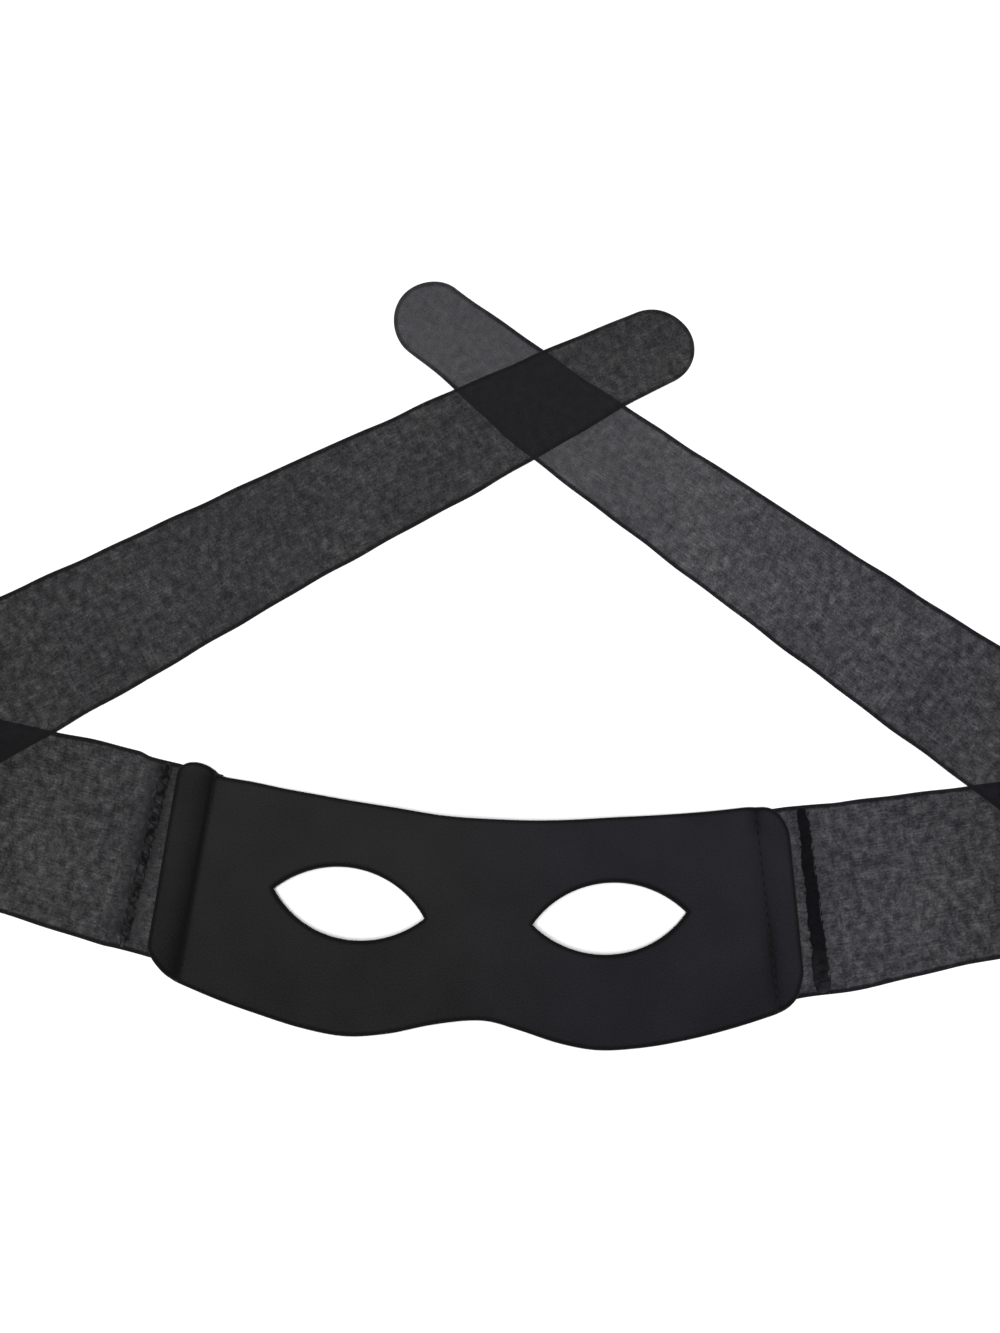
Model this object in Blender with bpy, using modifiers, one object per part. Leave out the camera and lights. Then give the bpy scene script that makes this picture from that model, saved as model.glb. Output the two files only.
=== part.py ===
"""Domino mask: a moulded foam-cloth face panel with two eye holes, and two sheer knit ties.

The mask lies face up on a flat surface. Each tie is sewn under one end of the face, runs outward,
folds back over itself and comes in again, and the two ties cross above the brow.
Metres, +Z up, +X to the right of the face as it is seen from above, +Y toward the crossing.
"""

import math

import bmesh
import bpy
from mathutils import Matrix, Vector

# Cloth that lies on cloth keeps this gap
GAP = 0.0003

# Face panel, in its own frame: across to the right, up toward the brow, zero between the eyes
FACE_WIDTH = 0.190
BROW_HEIGHT = 0.0375
CHEEK_DROP = 0.0380
FACE_WALL = 0.0025
FACE_TURN = math.radians(-3.3)
DOME_RISE = 0.0110
EDGE_ROLL = 0.0022
BAND_RISE = 0.0011
NOSE_RISE = 0.0032
NOSE_WIDTH = 0.020
NOSE_LEAN = 0.005
# Shares: how high up the nose ridge crosses the middle, and how much lower it is at the brow
NOSE_CROSSING = 0.55
NOSE_FADE = 0.6
# How suddenly the dome rolls down toward its long edges
ROLL_POWER = 3

# Eye holes: two arcs that meet in pointed corners, the outer corner the higher one
EYE_SPACING = 0.0754
EYE_LENGTH = 0.0449
EYE_ARCH = 0.0103
EYE_SAG = 0.0104
EYE_SLANT = math.radians(8.7)
EYE_SEGMENTS = 32
# An eye cutter stands this many times as tall as the dome and its wall
CUTTER_OVERSIZE = 4

# Ties: length from the end of the face, width there, and how each one lies
TIE_WALL = 0.0010
TIE_LAP = 0.013
FOLD_RADIUS = 0.0016
FOLD_SETTLE = 0.016
STEP_MARGIN = 0.005
STEP_REACH = 0.018
# The rows of a tie's mesh follow the face's end at the root and the crease at the fold. These
# shares of the distance to the fold say where that begins and ends.
ROOT_SKEW_END = 0.45
FOLD_SKEW_START = 0.15
FOLD_SKEW_REACH = 0.40

LEFT_LENGTH = 0.3949
LEFT_WIDTH = 0.0575
LEFT_HEADING = math.radians(165.5)
LEFT_FOLD_AT = 0.1050
LEFT_RETURN = math.radians(27.6)

RIGHT_LENGTH = 0.3942
RIGHT_WIDTH = 0.0555
RIGHT_HEADING = math.radians(9.0)
RIGHT_FOLD_AT = 0.1127
RIGHT_RETURN = math.radians(144.2)

# Seam ridges across the ties, just outside the ends of the face
SEAM_HEIGHT = 0.0014
SEAM_ARCH = 0.0006
SEAM_INSET = 0.0006
LEFT_SEAM_WIDTH = 0.0022
LEFT_SEAM_OUT = 0.0056
LEFT_SEAM_SPREAD = 0.0021
RIGHT_SEAM_WIDTH = 0.0040
RIGHT_SEAM_OUT = 0.0051
RIGHT_SEAM_SPREAD = 0.0004

# Sections of the face from its left end to its right end. Across is a share of half the width,
# brow a share of the brow height, cheek a share of the cheek drop, lift a share of the band's rise.
FACE_SECTIONS = [
    # name            brow across  brow   cheek across  cheek   lift
    ("left end",         -0.953,  0.968,      -1.005,  0.403,  0.25),
    ("left corner",      -0.938,  1.030,      -0.988,  0.500,  0.75),
    ("left band",        -0.906,  1.052,      -0.948,  0.603,  1.00),
    ("left fold",        -0.868,  1.036,      -0.922,  0.639,  0.85),
    ("left groove",      -0.838,  0.993,      -0.908,  0.655,  0.00),
    ("left seat",        -0.813,  0.952,      -0.882,  0.684,  0.45),
    ("left temple",      -0.716,  0.917,      -0.768,  0.784,  0.30),
    ("left outer eye",   -0.621,  0.875,      -0.653,  0.868,  0.10),
    ("left eye",         -0.511,  0.835,      -0.521,  0.953,  0.00),
    ("left cheek",       -0.395,  0.795,      -0.384,  1.000,  0.00),
    ("left inner eye",   -0.263,  0.757,      -0.253,  0.963,  0.00),
    ("left nose",        -0.132,  0.717,      -0.126,  0.884,  0.00),
    ("nose",              0.000,  0.704,       0.026,  0.829,  0.00),
    ("right nose",        0.132,  0.715,       0.137,  0.879,  0.00),
    ("right inner eye",   0.263,  0.744,       0.263,  0.961,  0.00),
    ("right cheek",       0.395,  0.787,       0.384,  0.995,  0.00),
    ("right eye",         0.511,  0.824,       0.521,  0.953,  0.00),
    ("right outer eye",   0.621,  0.864,       0.653,  0.874,  0.10),
    ("right temple",      0.716,  0.904,       0.779,  0.774,  0.30),
    ("right seat",        0.798,  0.944,       0.891,  0.668,  0.40),
    ("right groove",      0.827,  0.952,       0.928,  0.626,  0.00),
    ("right fold",        0.857,  0.957,       0.949,  0.595,  0.55),
    ("right band",        0.882,  0.943,       0.965,  0.562,  0.85),
    ("right corner",      0.912,  0.880,       0.984,  0.485,  0.60),
    ("right end",         0.936,  0.765,       0.998,  0.316,  0.10),
]

# Edges of a tie along its length: how far its brow side and its cheek side lie from its middle
# line, as shares of its width at the face. Brow and cheek are the sides they have at the face.
LEFT_EDGES = [
    # along  brow   cheek
    (0.000,  0.499,  0.497),
    (0.024,  0.497,  0.492),
    (0.034,  0.511,  0.494),
    (0.095,  0.501,  0.473),
    (0.465,  0.386,  0.369),
    (0.668,  0.334,  0.289),
    (0.820,  0.280,  0.256),
    (0.947,  0.226,  0.210),
    (1.000,  0.195,  0.216),
]
RIGHT_EDGES = [
    # along  brow   cheek
    (0.000,  0.514,  0.492),
    (0.024,  0.506,  0.499),
    (0.044,  0.494,  0.494),
    (0.135,  0.474,  0.452),
    (0.486,  0.333,  0.378),
    (0.663,  0.281,  0.337),
    (0.790,  0.250,  0.303),
    (0.854,  0.240,  0.283),
    (0.943,  0.243,  0.207),
    (1.000,  0.243,  0.182),
]

# Mesh steps: cells across and cells in a stretch
FACE_ROWS = 16
FACE_STEP = 0.0042
TIE_COLUMNS = 8
TIE_STEP = 0.0085
FOLD_STEPS = 8
SETTLE_STEPS = 5
TIP_STEPS = 7
SEAM_STEPS = 12
SEAM_COLUMNS = 4
LAST_TIP_TURN = math.radians(82)

FACE_BLACK = (0.017, 0.017, 0.018, 1.0)
FACE_ROUGHNESS = 0.85
TIE_BLACK = (0.022, 0.022, 0.024, 1.0)
TIE_ROUGHNESS = 0.80
SEAM_BLACK = (0.010, 0.010, 0.011, 1.0)
SEAM_ROUGHNESS = 0.75


def smooth_step(share):
    """Rises from 0 to 1 with level ends."""
    share = min(max(share, 0.0), 1.0)
    return share * share * (3.0 - 2.0 * share)


def read_table(rows, key, value, place):
    """A smooth curve through one column of a table, read at a place in its key column."""
    keys = [row[key] for row in rows]
    values = [row[value] for row in rows]
    last = len(keys) - 1
    place = min(max(place, keys[0]), keys[last])
    cell = next(i for i in range(last) if place <= keys[i + 1])

    def slope(i):
        before = max(i - 1, 0)
        after = min(i + 1, last)
        return (values[after] - values[before]) / (keys[after] - keys[before])

    span = keys[cell + 1] - keys[cell]
    t = (place - keys[cell]) / span
    rise = values[cell + 1] - values[cell]
    start = slope(cell) * span
    end = slope(cell + 1) * span
    return values[cell] + t * start + t * t * ((3 - 2 * t) * rise - (2 - t) * start - (1 - t) * end)


def clear_scene():
    for item in list(bpy.data.objects):
        bpy.data.objects.remove(item, do_unlink=True)


def new_collection(name):
    collection = bpy.data.collections.new(name)
    bpy.context.scene.collection.children.link(collection)
    return collection


def new_material(name, colour, roughness):
    material = bpy.data.materials.new(name)
    material.use_nodes = True
    shader = material.node_tree.nodes["Principled BSDF"]
    shader.inputs["Base Color"].default_value = colour
    shader.inputs["Roughness"].default_value = roughness
    shader.inputs["Metallic"].default_value = 0.0
    return material


def cloth_surface(name, rows, columns, place, material, collection):
    """An open sheet of rows by columns, each corner put where place(row, column) says."""
    mesh = bpy.data.meshes.new(name)
    bm = bmesh.new()
    bmesh.ops.create_grid(bm, x_segments=columns, y_segments=rows, size=1.0)
    for vert in bm.verts:
        column = round((vert.co.x + 1.0) / 2.0 * columns)
        row = round((vert.co.y + 1.0) / 2.0 * rows)
        vert.co = place(row, column)
    bmesh.ops.recalc_face_normals(bm, faces=bm.faces)
    if sum(face.normal.z * face.calc_area() for face in bm.faces) < 0:
        bmesh.ops.reverse_faces(bm, faces=bm.faces)
    bm.to_mesh(mesh)
    bm.free()
    mesh.materials.append(material)
    mesh.shade_smooth()
    sheet = bpy.data.objects.new(name, mesh)
    collection.objects.link(sheet)
    return sheet


def give_wall(sheet, wall):
    """Thickens a sheet evenly to both sides of its surface."""
    solidify = sheet.modifiers.new("wall", "SOLIDIFY")
    solidify.thickness = wall
    solidify.offset = 0.0
    solidify.use_even_offset = True


# Face panel

def face_columns():
    """Shares along the row of sections, with a column on each section and steps between them."""
    places = []
    last = len(FACE_SECTIONS) - 1
    for i in range(last):
        width = (FACE_SECTIONS[i + 1][1] - FACE_SECTIONS[i][1]) * FACE_WIDTH / 2
        steps = max(1, round(width / FACE_STEP))
        places += [i + step / steps for step in range(steps)]
    return places + [last]


def face_section(place):
    """Brow point, cheek point and lift of the face's section at a place in the table."""
    rows = [(i,) + row[1:] for i, row in enumerate(FACE_SECTIONS)]
    brow_across, brow, cheek_across, cheek, lift = (read_table(rows, 0, i, place) for i in range(1, 6))
    top = Vector((brow_across * FACE_WIDTH / 2, brow * BROW_HEIGHT))
    bottom = Vector((cheek_across * FACE_WIDTH / 2, -cheek * CHEEK_DROP))
    return top, bottom, lift


def groove_reach(side, share):
    """How far out the groove of one side lies, at a share of the way from cheek to brow."""
    name = "left groove" if side < 0 else "right groove"
    groove = next(row for row in FACE_SECTIONS if row[0] == name)
    return abs(groove[3] + (groove[1] - groove[3]) * share) * FACE_WIDTH / 2


def face_height(across, share, lift):
    """Height of the face's middle surface, which arches from groove to groove."""
    arch = math.cos(math.pi / 2 * min(abs(across) / groove_reach(across, share), 1.0))
    rest = TIE_WALL + GAP + FACE_WALL / 2
    roll = EDGE_ROLL * abs(2 * share - 1) ** ROLL_POWER
    ridge = (share - NOSE_CROSSING) * NOSE_LEAN
    nose = NOSE_RISE * math.exp(-((across - ridge) / (NOSE_WIDTH / 2)) ** 2) * (1.0 - NOSE_FADE * share)
    return rest + lift * BAND_RISE + arch * (DOME_RISE - roll) + nose


def turned(point):
    """A point of the face's own frame, turned with the face."""
    return point.to_3d() @ Matrix.Rotation(FACE_TURN, 3, "Z").transposed()


def make_face(material, collection, cutters):
    columns = face_columns()

    def place(row, column):
        top, bottom, lift = face_section(columns[column])
        share = row / FACE_ROWS
        flat = bottom.lerp(top, share)
        point = turned(flat)
        point.z = face_height(flat.x, share, lift)
        return point

    face = cloth_surface("face", FACE_ROWS, len(columns) - 1, place, material, collection)
    give_wall(face, FACE_WALL)
    for cutter in make_eye_cutters(cutters):
        hole = face.modifiers.new(cutter.name, "BOOLEAN")
        hole.operation = "DIFFERENCE"
        hole.solver = "EXACT"
        hole.object = cutter
    return face


def eye_outline(turn):
    """A point of an eye's outline: two arcs over one chord, met in corners at turn 0 and pi."""
    half = EYE_LENGTH / 2
    x = half * math.cos(turn)
    height = EYE_ARCH if turn < math.pi else EYE_SAG
    radius = (half ** 2 + height ** 2) / (2 * height)
    y = math.sqrt(radius ** 2 - x ** 2) - (radius - height)
    return Vector((x, y if turn < math.pi else -y))


def make_eye_cutters(cutters):
    """One upright prism for each eye, tall enough to pass through the dome."""
    height = CUTTER_OVERSIZE * (DOME_RISE + FACE_WALL)
    made = []
    for name, side in (("left_eye_cut", -1), ("right_eye_cut", 1)):
        mesh = bpy.data.meshes.new(name)
        bm = bmesh.new()
        bmesh.ops.create_cone(bm, cap_ends=True, segments=EYE_SEGMENTS, radius1=1.0, radius2=1.0, depth=height)
        for vert in bm.verts:
            turn = math.atan2(vert.co.y, vert.co.x) % math.tau
            step = round(turn / math.tau * EYE_SEGMENTS) % EYE_SEGMENTS
            flat = eye_outline(step * math.tau / EYE_SEGMENTS) @ Matrix.Rotation(side * EYE_SLANT, 2).transposed()
            flat += Vector((side * EYE_SPACING / 2, 0))
            vert.co = turned(flat) + Vector((0, 0, vert.co.z))
        bm.to_mesh(mesh)
        bm.free()
        cutter = bpy.data.objects.new(name, mesh)
        cutter.hide_render = True
        cutter.display_type = "WIRE"
        cutters.objects.link(cutter)
        made.append(cutter)
    return made


# Ties

class Tie:
    """One tie: its flat shape, and how it lies when it is folded back over itself."""

    def __init__(self, name, end, length, width, heading, fold_at, back, edges):
        self.name = name
        self.length = length
        self.width = width
        self.fold_at = fold_at
        self.edges = edges
        top, bottom, _ = face_section(end)
        self.root = turned(top.lerp(bottom, 0.5))
        self.ahead = Vector((math.cos(heading), math.sin(heading), 0))
        self.browward = Vector((abs(self.ahead.y), abs(self.ahead.x), 0))
        self.browward.x *= -math.copysign(1, self.ahead.x)
        self.back = Vector((math.cos(back), math.sin(back), 0))
        self.outward = (self.ahead - self.back).normalized()
        end_line = turned(top) - turned(bottom)
        self.end_slope = end_line.dot(self.ahead) / end_line.dot(self.browward)
        self.fold_slope = -self.browward.dot(self.outward) / self.ahead.dot(self.outward)
        self.fold = self.root + self.ahead * fold_at

    def tip_radius(self):
        """Radius of the round tip, half the width that the tie has there."""
        return (self.edges[-1][1] + self.edges[-1][2]) * self.width / 2

    def span(self, along):
        """Middle and half width of the tie at a distance along it, rounded off at the tip."""
        brow = read_table(self.edges, 0, 1, along / self.length) * self.width
        cheek = read_table(self.edges, 0, 2, along / self.length) * self.width
        radius = self.tip_radius()
        past = max(0.0, along - (self.length - radius)) / radius
        return (brow - cheek) / 2, (brow + cheek) / 2 * math.sqrt(max(0.0, 1.0 - past ** 2))

    def skew(self, along):
        """Slope of a row: along the face's end at the root, along the crease at the fold."""
        root = 1.0 - smooth_step(along / (ROOT_SKEW_END * self.fold_at))
        reach = abs(along - self.fold_at) / self.fold_at
        fold = 1.0 - smooth_step((reach - FOLD_SKEW_START) / FOLD_SKEW_REACH)
        return root * self.end_slope + fold * self.fold_slope

    def flat_fold(self, along, across):
        """Distance past the crease, and the place it has when the tie is folded flat."""
        offset = self.ahead * (along - self.fold_at) + self.browward * across
        past = offset.dot(self.outward)
        flat = self.fold + offset
        if past > 0:
            flat -= self.outward * (2 * past)
        return past, flat

    def above_lower_run(self, point):
        """Distance of a point from the lower run, zero or less over it."""
        offset = point - self.root
        middle, half = self.span(min(max(offset.dot(self.ahead), 0.0), self.fold_at))
        return abs(offset.dot(self.browward) - middle) - half

    def above_upper_run(self, point):
        """Distance of a point from the upper run, zero or less over it."""
        offset = point - self.fold
        along = self.fold_at + offset.dot(self.back)
        turned_over = self.browward - self.outward * (2 * self.browward.dot(self.outward))
        middle, half = self.span(min(along, self.length - self.tip_radius()))
        return max(abs(offset.dot(turned_over) - middle) - half, along - self.length)


def step_down(distance):
    """Share of a full step up, from 1 over the cloth below to 0 well clear of it."""
    return 1.0 - smooth_step((distance - STEP_MARGIN) / STEP_REACH)


def tie_point(tie, along, across, below=None):
    """Where a point of the flat tie lies, with its height over the floor and over other cloth."""
    past, flat = tie.flat_fold(along, across)
    floor = TIE_WALL / 2
    half_turn = math.pi * FOLD_RADIUS
    rolled = past + half_turn / 2
    if rolled <= 0:
        return Vector((flat.x, flat.y, floor))
    cover = step_down(tie.above_lower_run(flat))
    if below:
        cover = max(cover, step_down(below.above_upper_run(flat)))
    upper = floor + cover * (TIE_WALL + GAP)
    if rolled < half_turn:
        angle = rolled / FOLD_RADIUS
        start = flat + tie.outward * (-half_turn / 2 - min(past, -past))
        point = start + tie.outward * (FOLD_RADIUS * math.sin(angle))
        return Vector((point.x, point.y, floor + FOLD_RADIUS * (1 - math.cos(angle))))
    settle = smooth_step((rolled - half_turn) / FOLD_SETTLE)
    return Vector((flat.x, flat.y, floor + 2 * FOLD_RADIUS + settle * (upper - floor - 2 * FOLD_RADIUS)))


def tie_rows(tie):
    """Distances of the tie's rows: even runs, a fine fold, and a tip that closes in an arc."""
    secant = 1 / tie.ahead.dot(tie.outward)
    half_turn = math.pi * FOLD_RADIUS
    fold_start = tie.fold_at - half_turn / 2 * secant
    fold_end = tie.fold_at + half_turn / 2 * secant
    settled = fold_end + FOLD_SETTLE * secant
    radius = tie.tip_radius()
    tip_start = tie.length - radius

    def run(start, end, steps):
        return [start + (end - start) * step / steps for step in range(steps)]

    rows = run(-TIE_LAP, fold_start, round((fold_start + TIE_LAP) / TIE_STEP))
    rows += run(fold_start, fold_end, FOLD_STEPS)
    rows += run(fold_end, settled, SETTLE_STEPS)
    rows += run(settled, tip_start, round((tip_start - settled) / TIE_STEP))
    turns = [LAST_TIP_TURN * step / TIP_STEPS for step in range(TIP_STEPS + 1)]
    return rows + [tip_start + radius * math.sin(turn) for turn in turns]


def make_tie(tie, material, collection, below=None):
    rows = tie_rows(tie)

    def place(row, column):
        along = rows[row]
        middle, half = tie.span(along)
        across = middle + (2 * column / TIE_COLUMNS - 1) * half
        return tie_point(tie, along + tie.skew(along) * across, across, below)

    strap = cloth_surface(tie.name, len(rows) - 1, TIE_COLUMNS, place, material, collection)
    give_wall(strap, TIE_WALL)
    return strap


# Seam ridges

def make_seam(name, tie, width, out, spread, material, collection):
    """A low rounded ridge across a tie, beside the end of the face and wider apart at the cheek."""
    center, half = tie.span(out)
    reach = half - SEAM_INSET

    def place(row, column):
        share = 2 * row / SEAM_STEPS - 1
        across = center + share * reach
        middle = out - spread * share + tie.end_slope * across
        offset = 2 * column / SEAM_COLUMNS - 1
        along = middle + offset * width / 2
        base = TIE_WALL + GAP + SEAM_HEIGHT / 2
        point = tie.root + tie.ahead * along + tie.browward * across
        return Vector((point.x, point.y, base + SEAM_ARCH * (1 - offset ** 2)))

    seam = cloth_surface(name, SEAM_STEPS, SEAM_COLUMNS, place, material, collection)
    give_wall(seam, SEAM_HEIGHT)
    return seam


def stand_on_origin(collection, cutters):
    """Parents everything to an empty and shifts it, so that the origin is under the box's middle."""
    bpy.context.view_layer.update()
    depsgraph = bpy.context.evaluated_depsgraph_get()
    pieces = [item for item in collection.objects if item.type == "MESH"]
    corners = []
    for piece in pieces:
        solid = piece.evaluated_get(depsgraph)
        corners += [solid.matrix_world @ vert.co for vert in solid.data.vertices]
    low = [min(corner[axis] for corner in corners) for axis in range(3)]
    high = [max(corner[axis] for corner in corners) for axis in range(3)]
    stand = bpy.data.objects.new("domino_mask", None)
    collection.objects.link(stand)
    stand.location = (-(low[0] + high[0]) / 2, -(low[1] + high[1]) / 2, -low[2])
    for item in pieces + list(cutters.objects):
        item.parent = stand


def main():
    clear_scene()
    mask = new_collection("domino_mask")
    cutters = new_collection("cutters")
    face_cloth = new_material("face_foam_cloth", FACE_BLACK, FACE_ROUGHNESS)
    knit = new_material("sheer_knit", TIE_BLACK, TIE_ROUGHNESS)
    thread = new_material("seam_thread", SEAM_BLACK, SEAM_ROUGHNESS)

    left = Tie("strap_left", 0, LEFT_LENGTH, LEFT_WIDTH, LEFT_HEADING, LEFT_FOLD_AT, LEFT_RETURN, LEFT_EDGES)
    right = Tie("strap_right", len(FACE_SECTIONS) - 1, RIGHT_LENGTH, RIGHT_WIDTH,
                RIGHT_HEADING, RIGHT_FOLD_AT, RIGHT_RETURN, RIGHT_EDGES)
    make_face(face_cloth, mask, cutters)
    make_tie(right, knit, mask)
    make_tie(left, knit, mask, below=right)
    make_seam("seam_left", left, LEFT_SEAM_WIDTH, LEFT_SEAM_OUT, LEFT_SEAM_SPREAD, thread, mask)
    make_seam("seam_right", right, RIGHT_SEAM_WIDTH, RIGHT_SEAM_OUT, RIGHT_SEAM_SPREAD, thread, mask)

    stand_on_origin(mask, cutters)


main()
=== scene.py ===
"""The looks of a domino mask: a moulded foam-cloth face, two sheer knit ties and their sewn seams.

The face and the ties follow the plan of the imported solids, which the tables below repeat, with
finer meshes, thinner cloth, rolled edges, creases and thread. Metres, +Z up.
"""

import math

import bpy
import numpy as np
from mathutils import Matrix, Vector
from mathutils.geometry import delaunay_2d_cdt


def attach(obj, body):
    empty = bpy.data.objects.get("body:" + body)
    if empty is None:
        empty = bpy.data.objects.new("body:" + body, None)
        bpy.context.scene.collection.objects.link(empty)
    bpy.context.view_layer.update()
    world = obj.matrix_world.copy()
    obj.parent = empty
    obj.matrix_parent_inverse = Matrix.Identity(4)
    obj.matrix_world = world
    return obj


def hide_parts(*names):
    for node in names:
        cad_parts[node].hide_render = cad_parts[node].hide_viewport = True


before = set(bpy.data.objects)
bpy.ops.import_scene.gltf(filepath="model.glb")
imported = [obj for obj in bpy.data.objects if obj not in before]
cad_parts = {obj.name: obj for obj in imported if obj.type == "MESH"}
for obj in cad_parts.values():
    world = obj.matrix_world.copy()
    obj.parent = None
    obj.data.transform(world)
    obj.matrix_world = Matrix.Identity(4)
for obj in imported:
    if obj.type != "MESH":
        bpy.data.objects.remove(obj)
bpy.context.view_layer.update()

# The plan of the solids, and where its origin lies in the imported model
PLAN_ORIGIN = np.array([-0.006110, -0.075783])
FACE_WIDTH = 0.190
BROW_HEIGHT = 0.0375
CHEEK_DROP = 0.0380
FACE_WALL = 0.0025
FACE_TURN = math.radians(-3.3)
FACE_REST = 0.0013
DOME_RISE = 0.0110
EDGE_ROLL = 0.0022
BAND_RISE = 0.0011
NOSE_RISE = 0.0032
NOSE_WIDTH = 0.020
NOSE_LEAN = 0.005
NOSE_CROSSING = 0.55
NOSE_FADE = 0.6
ROLL_POWER = 3

EYE_SPACING = 0.0754
EYE_LENGTH = 0.0449
EYE_ARCH = 0.0103
EYE_SAG = 0.0104
EYE_SLANT = math.radians(8.7)

TIE_LAP = 0.013
FOLD_SETTLE = 0.016
STEP_MARGIN = 0.005
STEP_REACH = 0.018
# Shares of the way to the fold over which a tie's rows turn from the face's end to the crease
ROOT_SKEW_END = 0.45
FOLD_SKEW_START = 0.15
FOLD_SKEW_REACH = 0.40

# Finer relief of the face: its cut edge, its two stitched grooves and a little unevenness
FACE_EDGE_RADIUS = 0.0008
LEFT_GROOVE = (0.00075, 0.00060)
RIGHT_GROOVE = (0.00030, 0.00100)
FACE_UNEVEN = 0.00012

# Meshes: depths of the rows of points just inside a cut edge, and the step between the others
OUTLINE_STEP = 0.0007
FACE_RINGS = (0.00012, 0.00040, 0.0008, 0.0016)
FACE_STEP = 0.0021
TIE_RINGS = (0.00005, 0.00020, 0.00045, 0.00068, 0.00086, 0.0015)
TIE_STEP = 0.0028

# Thin cloth of the ties: its wall, its rolled edge, and the height of one layer over another
KNIT_WALL = 0.00045
ROLL_RADIUS = 0.00045
LAYER = 0.00095
FOLD_RADIUS = 0.0013
TIE_UNEVEN = 0.0005
EDGE_WOBBLE = 0.00018

# Seam rolls: width, way out from the face's end, spread, and how much narrower at the brow
LEFT_SEAM = (0.0022, 0.0056, 0.0021, -0.10)
RIGHT_SEAM = (0.0038, 0.0050, 0.0004, 0.24)
# Where across the floor the right roll turns from light at the cheek to dark
RIGHT_SEAM_FADE = (-0.106, -0.080)
SEAM_BASE = 0.00095
SEAM_HEIGHT = 0.0021
SEAM_ENDS = 0.05

# Stitches in the face's grooves
STITCH_PITCH = 0.0030
STITCH_LENGTH = 0.0022
STITCH_RADIUS = 0.00022

FACE_SECTIONS = [
    # brow across  brow   cheek across  cheek   lift
    (-0.953,  0.968,      -1.005,  0.403,  0.25),
    (-0.938,  1.030,      -0.988,  0.500,  0.75),
    (-0.906,  1.052,      -0.948,  0.603,  1.00),
    (-0.868,  1.036,      -0.922,  0.639,  0.85),
    (-0.838,  0.993,      -0.908,  0.655,  0.00),
    (-0.813,  0.952,      -0.882,  0.684,  0.45),
    (-0.716,  0.917,      -0.768,  0.784,  0.30),
    (-0.621,  0.875,      -0.653,  0.868,  0.10),
    (-0.511,  0.835,      -0.521,  0.953,  0.00),
    (-0.395,  0.795,      -0.384,  1.000,  0.00),
    (-0.263,  0.757,      -0.253,  0.963,  0.00),
    (-0.132,  0.717,      -0.126,  0.884,  0.00),
    (0.000,   0.704,       0.026,  0.829,  0.00),
    (0.132,   0.715,       0.137,  0.879,  0.00),
    (0.263,   0.744,       0.263,  0.961,  0.00),
    (0.395,   0.787,       0.384,  0.995,  0.00),
    (0.511,   0.824,       0.521,  0.953,  0.00),
    (0.621,   0.864,       0.653,  0.874,  0.10),
    (0.716,   0.904,       0.779,  0.774,  0.30),
    (0.798,   0.944,       0.891,  0.668,  0.40),
    (0.827,   0.952,       0.928,  0.626,  0.00),
    (0.857,   0.957,       0.949,  0.595,  0.55),
    (0.882,   0.943,       0.965,  0.562,  0.85),
    (0.912,   0.880,       0.984,  0.485,  0.60),
    (0.936,   0.765,       0.998,  0.316,  0.10),
]
LEFT_GROOVE_ROW = 4
RIGHT_GROOVE_ROW = 20

LEFT_EDGES = [
    # along  brow   cheek
    (0.000,  0.499,  0.497),
    (0.024,  0.497,  0.492),
    (0.034,  0.511,  0.494),
    (0.095,  0.501,  0.473),
    (0.465,  0.386,  0.369),
    (0.668,  0.334,  0.289),
    (0.820,  0.280,  0.256),
    (0.947,  0.226,  0.210),
    (1.000,  0.195,  0.216),
]
RIGHT_EDGES = [
    # along  brow   cheek
    (0.000,  0.514,  0.492),
    (0.024,  0.506,  0.499),
    (0.044,  0.494,  0.494),
    (0.135,  0.474,  0.452),
    (0.486,  0.333,  0.378),
    (0.663,  0.281,  0.337),
    (0.790,  0.250,  0.303),
    (0.854,  0.240,  0.283),
    (0.943,  0.243,  0.207),
    (1.000,  0.243,  0.182),
]

# Creases pressed into the ties: ends on the floor, height and half width
CREASES = [
    ((-0.1200, 0.0290), (-0.1085, 0.0160), 0.00030, 0.0010),
    ((-0.1085, 0.0160), (-0.1050, -0.0060), 0.00035, 0.0009),
    ((0.1222, 0.0200), (0.1203, -0.0060), 0.00030, 0.0009),
    ((0.1372, 0.0085), (0.1240, -0.0140), 0.00045, 0.0010),
]


# Numbers

def smooth_step(share):
    """Rises from 0 to 1 with level ends."""
    share = np.clip(share, 0.0, 1.0)
    return share * share * (3.0 - 2.0 * share)


def curve_through(keys, values):
    """A smooth curve through a table's values, as a function of places between its keys."""
    keys = np.array(keys, float)
    values = np.array(values, float)
    last = len(keys) - 1
    before = np.maximum(np.arange(last + 1) - 1, 0)
    after = np.minimum(np.arange(last + 1) + 1, last)
    slopes = (values[after] - values[before]) / (keys[after] - keys[before])

    def read(place):
        place = np.clip(place, keys[0], keys[last])
        cell = np.clip(np.searchsorted(keys, place) - 1, 0, last - 1)
        span = keys[cell + 1] - keys[cell]
        t = (place - keys[cell]) / span
        rise = values[cell + 1] - values[cell]
        start = slopes[cell] * span
        end = slopes[cell + 1] * span
        return values[cell] + t * start + t * t * ((3 - 2 * t) * rise - (2 - t) * start - (1 - t) * end)

    return read


def ripple(x, y):
    """Slow unevenness from 0 to 1, alike for every layer of cloth over one spot of the floor."""
    waves = (
        np.sin(x * 97 + y * 41 + 0.7)
        + np.sin(x * -53 + y * 118 + 2.1)
        + 0.7 * np.sin(x * 171 + y * -86 + 4.0)
        + 0.4 * np.sin(x * 64 + y * 233 + 1.3)
    )
    return 0.5 + waves / 6.2


def turned(vectors, angle):
    """Plan vectors turned by an angle."""
    c, s = math.cos(angle), math.sin(angle)
    return vectors @ np.array([[c, s], [-s, c]])


# Flat patterns

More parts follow.
